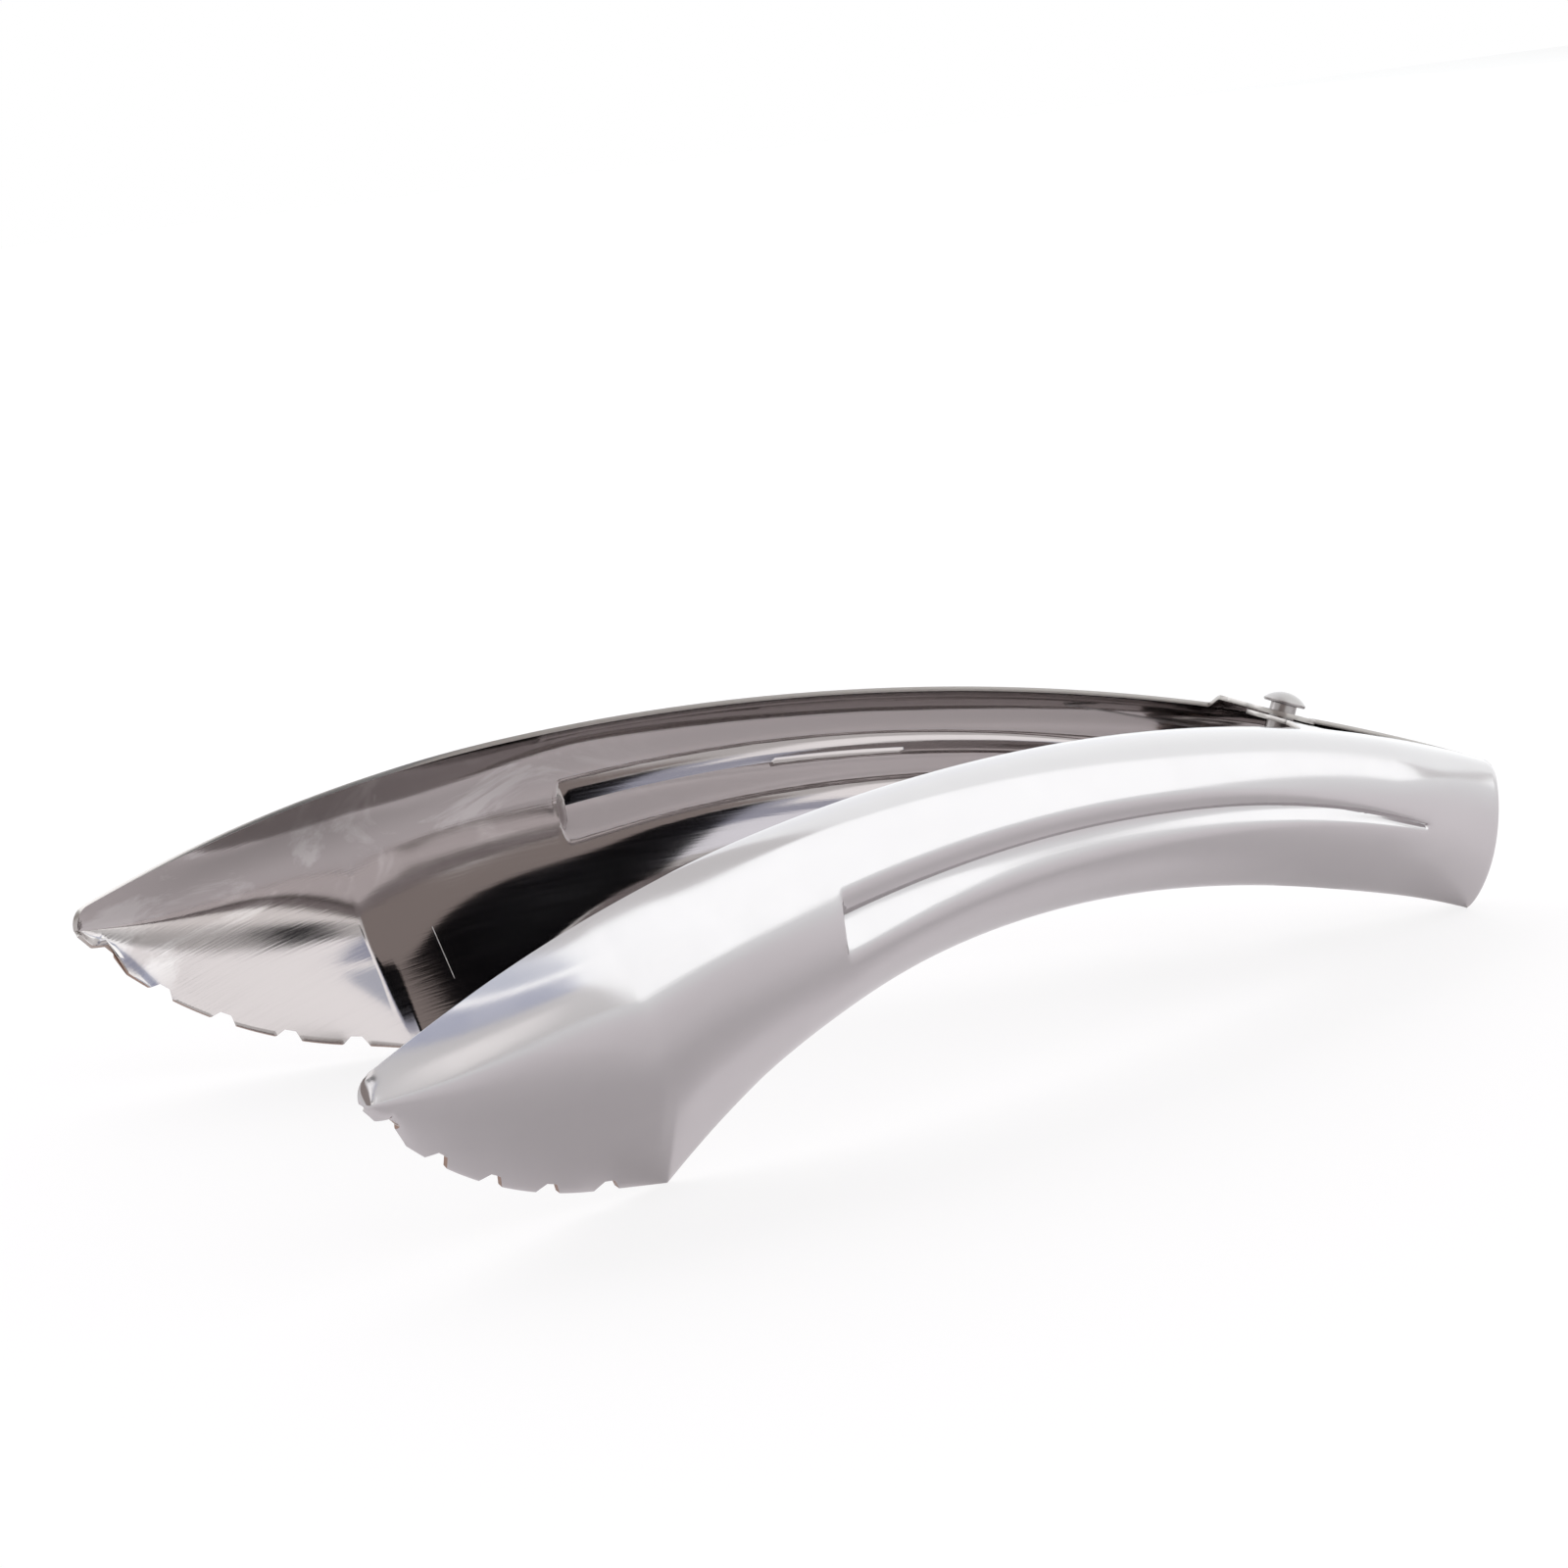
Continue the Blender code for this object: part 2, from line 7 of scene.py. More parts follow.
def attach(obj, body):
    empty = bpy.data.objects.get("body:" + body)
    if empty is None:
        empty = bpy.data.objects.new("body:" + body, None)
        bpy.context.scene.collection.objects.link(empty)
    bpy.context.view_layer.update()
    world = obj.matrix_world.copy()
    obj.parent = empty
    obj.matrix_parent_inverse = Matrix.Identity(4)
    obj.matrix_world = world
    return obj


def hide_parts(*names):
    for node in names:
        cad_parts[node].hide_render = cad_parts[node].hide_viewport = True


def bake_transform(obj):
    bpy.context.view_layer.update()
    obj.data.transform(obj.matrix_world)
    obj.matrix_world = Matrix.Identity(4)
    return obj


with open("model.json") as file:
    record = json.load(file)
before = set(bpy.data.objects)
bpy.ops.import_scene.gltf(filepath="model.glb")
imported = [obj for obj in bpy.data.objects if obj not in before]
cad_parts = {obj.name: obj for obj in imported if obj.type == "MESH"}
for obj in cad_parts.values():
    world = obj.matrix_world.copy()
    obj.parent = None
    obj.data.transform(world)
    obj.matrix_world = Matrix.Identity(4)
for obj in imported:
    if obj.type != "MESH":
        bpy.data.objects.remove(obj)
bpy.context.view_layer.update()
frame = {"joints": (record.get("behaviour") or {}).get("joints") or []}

# where things are: the hinge is the origin of the arms' own coordinates, Z along the rivet
joint = next(j for j in frame["joints"] if j["name"] == "arms_hinge")
hingeUp = -Vector(joint["axis"])
hingeRear = Vector((0, 1, 0)).cross(hingeUp)
hingeToWorld = Matrix((hingeRear, (0, 1, 0), hingeUp)).transposed().to_4x4()
hingeToWorld.translation = joint["pos_m"]

sheet = 0.0008
arm = {
    "rimRadius": 0.3623, "rimLength": 0.2599,          # the arched top rim
    "noseArchRadius": 0.2551, "noseArchStart": 0.1795,
    "rimCrest": 0.0110, "rimCrestHeight": 0.0152,
    "rearTopStart": 0.0043, "rearBottomStart": -0.0020, "rearSlantReach": 0.030,
    "rearWidth": 0.0248, "palmWidth": 0.0255, "palmAt": 0.035, "waistWidth": 0.0247, "waistAt": 0.109,
    "flareAt": 0.1567, "flareSlope": 0.388, "flareRound": 0.0372,
    "jawEdgeRadius": 0.0715, "jawEdgeCentreS": 0.1965, "jawEdgeCentreQ": -0.0245,
    "heelStraightFrom": 20.0, "noseRadius": 0.0040, "noseFade": 0.0020,
}
pressing = {
    "depthRear": 0.0050, "depthPalm": 0.0075, "depthWaist": 0.0100, "depthGrooveEnd": 0.0102,
    "crownShareRear": 0.40, "crownShareFront": 0.50, "lowerFullness": 0.80,
    "flangeDepth": 0.0012, "flangeRun": 0.0015,
    "jawDepth": 0.0092, "jawDepthRear": 0.0102, "jawDepthFade": 0.8,
    "crestShare": 0.79, "noseCrestShare": 0.98,      # where the upper face levels off, rim to ridge
    "faceFullness": 3.0, "noseFullness": 1.15,       # 1 is a flat face
    "apexS": 0.2130, "apexQ": 0.0271, "ridgeStartQ": 0.0190, "noseRidgeQ": 0.0034,
    "jawBlendStart": 0.1630, "jawBlendLength": 0.040,
    "crestRoundGroove": 0.0028, "crestRoundApex": 0.0034, "crestRoundNose": 0.0010,
    "rearRimLift": 0.0013, "rimLift": 0.00035, "rearLiftReach": 0.020,
}
groove = {
    "tail": 0.0236, "head": 0.1705, "wall": 0.0012, "topQ": 0.0078, "topNearestS": 0.115, "topBend": 0.53,
    "bottomTailQ": 0.0140, "bottomSlope": 0.0183, "bottomBend": 0.25,
    "tailDrop": 0.0010, "headDrop": 0.0023, "lowPoint": 0.38, "shoulder": 1.5,
}
teeth = {"count": 5, "pitch": 9.3, "first": 55.2, "mouth": 0.0046, "floor": 0.0019, "depth": 0.0014,
         "reach": 0.0060, "over": 0.0015}
hinge = {
    "halfOpening": 15.85, "pivotReach": 0.0468, "rearGap": 0.0003, "shank": 0.0023, "bore": 0.00245,
    "earRadius": 0.0060, "earRoot": 0.0185, "earTaper": 0.06, "earNeck": 0.98, "earNeckBehind": 0.40,
    "earJoggle": 0.0040, "earGap": 0.0003, "topEar": 0.0133, "bottomEar": -0.0120,
    "neckFrom": 0.4,                                 # rows of an ear's neck start here
    "tipAngles": (-12, -4, 4, 14, 24, 34, 44, 54, 63, 71, 78, 83),
}


def smooth(a, b, x):
    t = min(1.0, max(0.0, (x - a) / (b - a)))
    return t * t * (3 - 2 * t)


def along(stops, s):
    for (a, va), (b, vb) in zip(stops, stops[1:]):
        if s <= b:
            return va + (vb - va) * smooth(a, b, s)
    return stops[-1][1]


def dome(x):
    t = 1 - min(1.0, max(0.0, x))
    return math.sqrt(max(0.0, 1 - t * t))


# the outline, in the plane of the rims: s runs along the top rim, q across the arm
def rimArch(s):
    ahead, height = arm["rimCrest"], arm["rimCrestHeight"] - arm["rimRadius"]
    if s <= arm["noseArchStart"]:
        return ahead, height, arm["rimRadius"], (s - arm["rimCrest"]) / arm["rimRadius"]
    turn = (arm["noseArchStart"] - arm["rimCrest"]) / arm["rimRadius"]
    shift = arm["rimRadius"] - arm["noseArchRadius"]
    return (ahead + shift * math.sin(turn), height + shift * math.cos(turn), arm["noseArchRadius"],
            turn + (s - arm["noseArchStart"]) / arm["noseArchRadius"])


def planPoint(s, q):
    ahead, height, radius, turn = rimArch(s)
    return ahead + (radius - q) * math.sin(turn), height + (radius - q) * math.cos(turn)


def jawEdgeFrame():
    return planPoint(arm["jawEdgeCentreS"], arm["jawEdgeCentreQ"]), rimArch(arm["jawEdgeCentreS"])[3]


def limbWidth(s):
    handle = along([(0, arm["rearWidth"]), (arm["palmAt"], arm["palmWidth"]),
                    (arm["waistAt"], arm["waistWidth"])], s)
    past = s - arm["flareAt"]
    return handle + arm["flareSlope"] * (past + math.hypot(past, arm["flareRound"])) / 2


def jawWidth(s):
    ahead, height, radius, turn = rimArch(s)
    (centreX, centreY), centreTurn = jawEdgeFrame()
    outX, outY = centreX - ahead, centreY - height
    alongRay = outX * math.sin(turn) + outY * math.cos(turn)
    offRay = outX * math.cos(turn) - outY * math.sin(turn)
    edge = arm["jawEdgeRadius"]
    reach = alongRay - math.sqrt(max(0.0, edge ** 2 - offRay ** 2))
    heel = math.radians(arm["heelStraightFrom"]) - centreTurn
    if reach * math.sin(turn) - outX < edge * math.sin(heel):
        reach = (edge + math.sin(heel) * outX - math.cos(heel) * outY) / -math.cos(heel + turn)
    return radius - reach


def armWidth(s):
    return min(limbWidth(s), jawWidth(s)) if s > arm["flareAt"] else limbWidth(s)


def ridgeQ(s):
    p = pressing
    if s < p["apexS"]:
        back = min(1.0, (p["apexS"] - s) / (p["apexS"] - groove["head"]))
        return p["apexQ"] + (p["ridgeStartQ"] - p["apexQ"]) * back
    return p["apexQ"] + (p["noseRidgeQ"] - p["apexQ"]) * (s - p["apexS"]) / (arm["rimLength"] - p["apexS"])


def roundedMin(a, b, reach):
    near = max(0.0, 1 - abs(a - b) / reach)
    return min(a, b) - near * near * reach / 4


def jawUpper(s, q):
    p = pressing
    ridge = ridgeQ(s)
    if s < p["apexS"]:
        depth = along([(groove["head"], p["jawDepthRear"]), (p["apexS"], p["jawDepth"])], s)
    else:
        depth = p["jawDepth"] * (ridge / p["apexQ"]) ** p["jawDepthFade"]
    toNose = smooth(p["apexS"], arm["rimLength"], s)
    crest = p["crestShare"] + (p["noseCrestShare"] - p["crestShare"]) * toNose
    left = 1 - min(1.0, max(0.0, q / (crest * ridge)))
    fullness = p["faceFullness"] + (p["noseFullness"] - p["faceFullness"]) * toNose
    return depth * (1 - left ** fullness)


def rimRows(s):
    first, last = 0.0, armWidth(s)
    past = s - (arm["rimLength"] - arm["noseRadius"])
    if past > 0:
        half = math.sqrt(max(0.0, arm["noseRadius"] ** 2 - past ** 2))
        first, last = arm["noseRadius"] - half, min(last, arm["noseRadius"] + half)
    return first, last


def surfaceDepth(s, q):
    p = pressing
    width = armWidth(s)
    crown = along([(0, p["depthRear"]), (arm["palmAt"], p["depthPalm"]), (arm["waistAt"], p["depthWaist"]),
                   (groove["head"], p["depthGrooveEnd"])], s)
    share = p["crownShareRear"] + (p["crownShareFront"] - p["crownShareRear"]) \
        * smooth(arm["waistAt"], groove["head"], s)
    crownQ = share * width
    flange = p["flangeDepth"]
    handle = min(flange * dome(q / p["flangeRun"]) + (crown - flange) * dome(q / crownQ),
                 crown * dome((width - q) / (width - crownQ)) ** (2 * p["lowerFullness"]))
    ridge = ridgeQ(s)
    below = jawUpper(s, ridge) * max(0.0, width - q) / max(width - ridge, 1e-6)
    rounding = along([(groove["head"], p["crestRoundGroove"]), (p["apexS"], p["crestRoundApex"]),
                      (arm["rimLength"], p["crestRoundNose"])], s)
    jaw = roundedMin(jawUpper(s, q), below, rounding)
    blendEnd = p["jawBlendStart"] + p["jawBlendLength"]
    depth = handle + (jaw - handle) * smooth(p["jawBlendStart"], blendEnd, s)
    if s > arm["rimLength"] - arm["noseRadius"]:
        first, last = rimRows(s)
        depth *= dome(min(q - first, last - q) / arm["noseFade"])
    lift = p["rearRimLift"] + (p["rimLift"] - p["rearRimLift"]) * smooth(0, p["rearLiftReach"], s)
    return max(0.0, depth) + lift * smooth(0, 1, q / width)


def grooveEdges(s):
    place = min(max(s, groove["tail"]), groove["head"])
    run = place - groove["tail"]
    top = groove["topQ"] + groove["topBend"] * (place - groove["topNearestS"]) ** 2
    bottom = groove["bottomTailQ"] + groove["bottomSlope"] * run + groove["bottomBend"] * run ** 2
    return top, bottom


def grooveDrop(s, q):
    top, bottom = grooveEdges(s)
    x = (q - top) / (bottom - top)
    if not 0 < x < 1:
        return 0.0
    run = min(max(s, groove["tail"]), groove["head"]) - groove["tail"]
    grown = run / (groove["head"] - groove["tail"])
    drop = groove["tailDrop"] + (groove["headDrop"] - groove["tailDrop"]) * grown
    ends = smooth(groove["tail"] - groove["wall"], groove["tail"], s) \
        * (1 - smooth(groove["head"], groove["head"] + groove["wall"], s))
    low = groove["lowPoint"]
    wall = (x / low) ** groove["shoulder"] if x < low else 1 - smooth(low, 1, x)
    return drop * ends * wall


def hingePoint(ahead, depth, height, side):
    angle = math.radians(hinge["halfOpening"])
    out = ahead * math.sin(angle) + depth * math.cos(angle) + hinge["rearGap"] / 2
    back = hinge["pivotReach"] - ahead * math.cos(angle) + depth * math.sin(angle)
    return Vector((back, side * out, height))


def armPoint(s, q, side, depth=None):
    slant = arm["rearTopStart"] + (arm["rearBottomStart"] - arm["rearTopStart"]) * q / armWidth(s)
    ahead, height = planPoint(s + slant * max(0.0, 1 - s / arm["rearSlantReach"]), q)
    if depth is None:
        depth = surfaceDepth(s, q) - grooveDrop(s, q)
    return hingePoint(ahead, depth, height, side)


density = {
    "rear": 18, "groove": 128, "walls": 4, "neck": 40, "jaw": 56, "nose": 9,       # stations
    "upper": 18, "grooveWall": 7, "grooveFloor": 9, "lower": 20, "upperCrowding": 1.6,   # rows
    "earRows": 8, "earColumns": 18, "ridgeRow": 0.55, "ridgeRowLeast": 0.35,
    "heelClear": 0.0004, "earClear": 0.6, "lastTurn": 76,
}


def spread(a, b, count):
    return [a + (b - a) * (i + 1) / count for i in range(count)]


def heelPlace():
    low, high = arm["flareAt"], pressing["apexS"]
    while high - low > 1e-7:
        middle = (low + high) / 2
        low, high = (middle, high) if limbWidth(middle) < jawWidth(middle) else (low, middle)
    return low


def stationPlaces(earPlaces):
    d, tail, head = density, groove["tail"], groove["head"]
    lastFull = arm["rimLength"] - arm["noseRadius"]
    places = [0.0] + spread(0, tail - groove["wall"], d["rear"])
    places += spread(tail - groove["wall"], tail, d["walls"]) + spread(tail, head, d["groove"])
    places += spread(head, head + groove["wall"], d["walls"])
    places += spread(head + groove["wall"], pressing["apexS"], d["neck"])
    places += spread(pressing["apexS"], lastFull, d["jaw"])
    places += [lastFull + arm["noseRadius"] * math.sin(math.radians(d["lastTurn"] * (i + 1) / d["nose"]))
               for i in range(d["nose"])]
    heel = heelPlace()
    places = [p for p in places if abs(p - heel) > d["heelClear"]] + [heel]
    clear = (earPlaces[1] - earPlaces[0]) * d["earClear"]
    places = [p for p in places if p < earPlaces[0] - clear or p > earPlaces[-1] + clear]
    return sorted(places + earPlaces)


def rowPlaces(s):
    d = density
    first, last = rimRows(s)
    top, bottom = grooveEdges(s)
    apexS, apexQ = pressing["apexS"], pressing["apexQ"]
    if s > groove["head"]:
        t = min(1.0, (s - groove["head"]) / (apexS - groove["head"]))
        top, bottom = top + (d["ridgeRow"] * apexQ - top) * t, bottom + (apexQ - bottom) * t
    if s > apexS:
        bottom = min(max(ridgeQ(s), first + d["ridgeRowLeast"] * (last - first)), last)
        top = first + d["ridgeRow"] * (bottom - first)
    low = top + (bottom - top) * groove["lowPoint"]
    rows = [first + (top - first) * (i / d["upper"]) ** d["upperCrowding"] for i in range(d["upper"])]
    rows += [top] + spread(top, low, d["grooveWall"]) + spread(low, bottom, d["grooveFloor"])
    return rows + spread(bottom, last, d["lower"])


def pickOnly(thing):
    if bpy.context.mode != "OBJECT":
        bpy.ops.object.mode_set(mode="OBJECT")
    bpy.ops.object.select_all(action="DESELECT")
    thing.select_set(True)
    bpy.context.view_layer.objects.active = thing


def shapedGrid(name, rows):
    # a grid primitive whose vertices take the rows of (point, u, v)
    bpy.ops.mesh.primitive_grid_add(x_subdivisions=len(rows[0]) - 1, y_subdivisions=len(rows) - 1, size=1)
    grid = bpy.context.object
    grid.name = name
    flat = [place for row in rows for place in row]
    for vertex, (point, u, v) in zip(grid.data.vertices, flat):
        vertex.co = hingeToWorld @ point
    layer = grid.data.uv_layers.active
    for loop in grid.data.loops:
        layer.data[loop.index].uv = flat[loop.vertex_index][1:]
    return grid


def earGrid(name, side, level, rim, places):
    # one ear, from a rim's points out past the rivet
    h = hinge
    angle = math.radians(h["halfOpening"])
    pivotAhead = h["pivotReach"] * math.cos(angle)
    pivotOut = h["pivotReach"] * math.sin(angle) + h["rearGap"] / 2 / math.cos(angle)
    root = h["earRoot"] / 2
    outline = [(h["earJoggle"] * t, root * (1 - h["earTaper"] * t))
               for t in spread(0, 1, density["earRows"])]
    neck = pivotOut - h["earRadius"] * h["earNeckBehind"]
    outline += [(neck * t, root + (h["earRadius"] * h["earNeck"] - root) * t)
                for t in spread(h["neckFrom"], 1, density["earRows"])]
    tip = [math.radians(a) for a in h["tipAngles"]]
    outline += [(pivotOut + h["earRadius"] * math.sin(a), h["earRadius"] * math.cos(a)) for a in tip]
    rows = [[(point, s, q) for point, s, q in rim]]
    for reach, half in outline:
        row = []
        for (point, s, q), place in zip(rim, places):
            height = point.z + (level - point.z) * smooth(0, h["earJoggle"], reach)
            across = 2 * (place - places[0]) / (places[-1] - places[0]) - 1
            row.append((hingePoint(pivotAhead + half * across, -reach, height, side), s, q - reach))
        rows.append(row)
    return shapedGrid(name, rows)


edgeSlot = 2        # the arms' third material, on cut edges
finish = {
    "edgeRound": 0.00012, "edgeSteps": 2, "edgeAngle": 60, "smoothAngle": 35, "wireSmooth": 40,
    "boreSides": 48, "boreReach": 0.06, "merge": 0.00001, "wireMerge": 0.000001,
}


def cutEdges(cutter, materials):
    for material in materials:
        cutter.data.materials.append(material)
    for face in cutter.data.polygons:
        face.material_index = edgeSlot


def notchCutter(side, materials):
    # one wedge for each notch between the teeth, joined
    centre, centreTurn = jawEdgeFrame()
    angle = math.radians(hinge["halfOpening"])
    aheadAxis = Vector((-math.cos(angle), side * math.sin(angle), 0))
    wedges = []
    for i in range(teeth["count"]):
        turn = math.radians(teeth["first"] - teeth["pitch"] * i) - centreTurn
        outward = aheadAxis * math.sin(turn) - Vector((0, 0, math.cos(turn)))
        depthAxis = Vector((math.sin(angle), side * math.cos(angle), 0))
        across = outward.cross(depthAxis)
        length = teeth["depth"] + teeth["over"]
        middle = hingePoint(centre[0], 0, centre[1], side) \
            + outward * (arm["jawEdgeRadius"] - teeth["depth"] + length / 2)
        bpy.ops.mesh.primitive_cube_add(size=1)
        wedge = bpy.context.object
        mouth = teeth["floor"] + (teeth["mouth"] - teeth["floor"]) * length / teeth["depth"]
        for vertex in wedge.data.vertices:
            vertex.co.x *= mouth if vertex.co.y > 0 else teeth["floor"]
        place = Matrix((across, outward * length, depthAxis * 2 * teeth["reach"])).transposed().to_4x4()
        place.translation = middle
        wedge.matrix_world = hingeToWorld @ place
        wedges.append(wedge)
    pickOnly(wedges[0])
    for wedge in wedges:
        wedge.select_set(True)
    bpy.ops.object.join()
    bpy.ops.object.transform_apply()
    cutter = bpy.context.object
    cutEdges(cutter, materials)
    return cutter


def makeArm(name, side, topLevel, bottomLevel, materials):
    # pressed shell and two ears, then the sheet's thickness, the notches and the rivet's holes
    angle = math.radians(hinge["halfOpening"])
    pivotAhead = hinge["pivotReach"] * math.cos(angle)
    columns = density["earColumns"]
    turn = math.asin((pivotAhead - arm["rimCrest"]) / arm["rimRadius"])
    earCentre = arm["rimCrest"] + arm["rimRadius"] * turn
    earPlaces = [earCentre + hinge["earRoot"] * (i / columns - 0.5) for i in range(columns + 1)]
    places = stationPlaces(earPlaces)
    rows = [[(armPoint(s, q, side), s, q) for q in rowPlaces(s)] for s in places]
    shell = shapedGrid(name, rows)
    first = places.index(earPlaces[0])
    beside = rows[first:first + columns + 1]
    ears = [earGrid(name + "Ear", side, level, [row[edge] for row in beside], earPlaces)
            for level, edge in ((topLevel, 0), (bottomLevel, -1))]
    pickOnly(shell)
    for ear in ears:
        ear.select_set(True)
    bpy.ops.object.join()
    bpy.ops.object.mode_set(mode="EDIT")
    bpy.ops.mesh.select_all(action="SELECT")
    bpy.ops.mesh.remove_doubles(threshold=finish["merge"])
    bpy.ops.mesh.normals_make_consistent(inside=False)
    bpy.ops.object.mode_set(mode="OBJECT")
    middle = max(shell.data.polygons, key=lambda face: side * face.center.y)
    if middle.normal.y * side < 0:
        bpy.ops.object.mode_set(mode="EDIT")
        bpy.ops.mesh.select_all(action="SELECT")
        bpy.ops.mesh.flip_normals()
        bpy.ops.object.mode_set(mode="OBJECT")
    for material in materials:
        shell.data.materials.append(material)

    solid = shell.modifiers.new("sheet", "SOLIDIFY")
    solid.thickness = sheet
    solid.offset = 0
    solid.material_offset = 1
    solid.material_offset_rim = edgeSlot
    edge = shell.modifiers.new("edge", "BEVEL")
    edge.width = finish["edgeRound"]
    edge.segments = finish["edgeSteps"]
    edge.limit_method = "ANGLE"
    edge.angle_limit = math.radians(finish["edgeAngle"])
    notches = notchCutter(side, materials)
    bpy.ops.mesh.primitive_cylinder_add(vertices=finish["boreSides"], radius=hinge["bore"],
                                        depth=finish["boreReach"])
    bore = bpy.context.object
    bore.matrix_world = hingeToWorld
    cutEdges(bore, materials)
    for cutter in (notches, bore):
        cut = shell.modifiers.new("cut", "BOOLEAN")
        cut.operation = "DIFFERENCE"
        cut.solver = "EXACT"
        cut.object = cutter
    pickOnly(shell)
    for modifier in list(shell.modifiers):
        bpy.ops.object.modifier_apply(modifier=modifier.name)
    for cutter in (notches, bore):
        bpy.data.objects.remove(cutter)
    bpy.ops.object.shade_smooth_by_angle(angle=math.radians(finish["smoothAngle"]))
    print(name, len(shell.data.polygons), "faces")
    return shell


rivetShape = {
    "headRadius": 0.0037, "headHeight": 0.0021, "headRim": 0.0005, "neck": 0.0010,
    "tailRadius": 0.0034, "tailHeight": 0.0008, "sides": 64, "domeSteps": 10,
    "tailRings": ((0.88, 1), (0.97, 0.85), (1, 0.6), (1, 0)),      # shares of radius and height
    "headRings": ((0.93, 0), (0.98, 0.2), (1, 0.5)),
}


def makeRivet(topFace, bottomFace, material):
    # tail, shank and domed head, drawn up ring by ring
    r = rivetShape
    under = topFace + hinge["earGap"] + r["neck"]
    rise = r["headHeight"] - r["headRim"]
    sphere = (r["headRadius"] ** 2 + rise ** 2) / 2 / rise
    widest = math.asin(r["headRadius"] / sphere)
    tailTop = bottomFace - hinge["earGap"]
    rings = [(r["tailRadius"] * k, tailTop - r["tailHeight"] * h) for k, h in r["tailRings"]]
    rings += [(hinge["shank"], tailTop), (hinge["shank"], under)]
    rings += [(r["headRadius"] * k, under + r["headRim"] * h) for k, h in r["headRings"]]
    centre = under + r["headRim"] - sphere * math.cos(widest)
    falls = [widest * i / r["domeSteps"] for i in range(r["domeSteps"], 0, -1)]
    rings += [(sphere * math.sin(a), centre + sphere * math.cos(a)) for a in falls]
    bpy.ops.mesh.primitive_circle_add(vertices=r["sides"], radius=rings[0][0], fill_type="NGON",
                                      location=(0, 0, rings[0][1]))
    rivet = bpy.context.object
    rivet.name = "hingeRivet"
    bpy.ops.object.transform_apply()
    bpy.ops.object.mode_set(mode="EDIT")
    bpy.ops.mesh.select_all(action="SELECT")
    for (radius, height), (nextRadius, nextHeight) in zip(rings, rings[1:]):
        bpy.ops.mesh.extrude_region_move(TRANSFORM_OT_translate={"value": (0, 0, nextHeight - height)})
        k = nextRadius / radius
        bpy.ops.transform.resize(value=(k, k, 1), center_override=(0, 0, nextHeight))
    bpy.ops.mesh.select_all(action="SELECT")
    bpy.ops.mesh.normals_make_consistent(inside=False)
    bpy.ops.object.mode_set(mode="OBJECT")
    rivet.matrix_world = hingeToWorld
    pickOnly(rivet)
    bpy.ops.object.transform_apply()
    bpy.ops.object.shade_smooth_by_angle(angle=math.radians(finish["smoothAngle"]))
    rivet.data.materials.append(material)
    print("rivet", len(rivet.data.polygons), "faces")
    return rivet


coil = {
    "wire": 0.0006, "clearance": 0.0007, "turns": 7, "steps": 40,
    "legS": 0.074, "nearLegQ": 0.0062, "farLegQ": 0.0205, "legClearance": 0.0003,
}


def legTarget(s, q, side):
    depth = surfaceDepth(s, q) - grooveDrop(s, q) - sheet / 2 - coil["wire"] - coil["legClearance"]
    return armPoint(s, q, side, depth)


def makeSpring(material):
    # a leg against each arm, and the coil round the rivet
    radius = hinge["shank"] + coil["clearance"] + coil["wire"]
    near, far = legTarget(coil["legS"], coil["nearLegQ"], -1), legTarget(coil["legS"], coil["farLegQ"], 1)
    ends = []
    for target, sign in ((near, 1), (far, -1)):
        distance = math.hypot(target.x, target.y)
        tangent = math.atan2(math.sqrt(distance ** 2 - radius ** 2), radius)
        ends.append(math.atan2(target.y, target.x) + sign * tangent)
    sweep = (ends[1] - ends[0]) % (2 * math.pi) + 2 * math.pi * coil["turns"]
    steps = coil["steps"] * (coil["turns"] + 1)
    points = [near]
    for i in range(steps + 1):
        a = ends[0] + sweep * i / steps
        height = near.z + (far.z - near.z) * i / steps
        points.append(Vector((radius * math.cos(a), radius * math.sin(a), height)))
    points.append(far)
    wire = bpy.data.curves.new("springWire", "CURVE")
    wire.dimensions = "3D"
    wire.bevel_depth = coil["wire"]
    wire.bevel_resolution = 4
    wire.use_fill_caps = True
    line = wire.splines.new("POLY")
    line.points.add(len(points) - 1)
    for place, point in zip(line.points, points):
        place.co = (*(hingeToWorld @ point), 1)
    spring = bpy.data.objects.new("torsionSpring", wire)
    bpy.context.scene.collection.objects.link(spring)
    pickOnly(spring)
    bpy.ops.object.convert(target="MESH")
    spring = bpy.context.object
    bpy.ops.object.mode_set(mode="EDIT")
    bpy.ops.mesh.select_all(action="SELECT")
    bpy.ops.mesh.remove_doubles(threshold=finish["wireMerge"])
    bpy.ops.mesh.normals_make_consistent(inside=False)
    bpy.ops.object.mode_set(mode="OBJECT")
    bpy.ops.object.shade_smooth_by_angle(angle=math.radians(finish["wireSmooth"]))
    spring.data.materials.append(material)
    print("spring", len(spring.data.polygons), "faces")
    return spring, hingeToWorld @ Vector((0, 0, far.z)), hingeToWorld @ Vector((0, 0, near.z))


# materials
def addNode(tree, kind, values=None, **settings):
    node = tree.nodes.new(kind)
    for key, value in settings.items():
        setattr(node, key, value)
    for key, value in (values or {}).items():
        node.inputs[key].default_value = value
    return node


def shadeSlot(name, colour, roughness):
    material = bpy.data.materials.new(name)
    material.use_nodes = True
    shader = material.node_tree.nodes["Principled BSDF"]
    shader.inputs["Base Color"].default_value = (*colour, 1)
    shader.inputs["Roughness"].default_value = roughness
    shader.inputs["Metallic"].default_value = 1.0
    return material, material.node_tree, shader


def newGroup(name, outputs):
    group = bpy.data.node_groups.new(name, "ShaderNodeTree")
    for output in outputs:
        group.interface.new_socket(name=output, in_out="OUTPUT", socket_type="NodeSocketFloat")
    return group, addNode(group, "NodeGroupOutput")


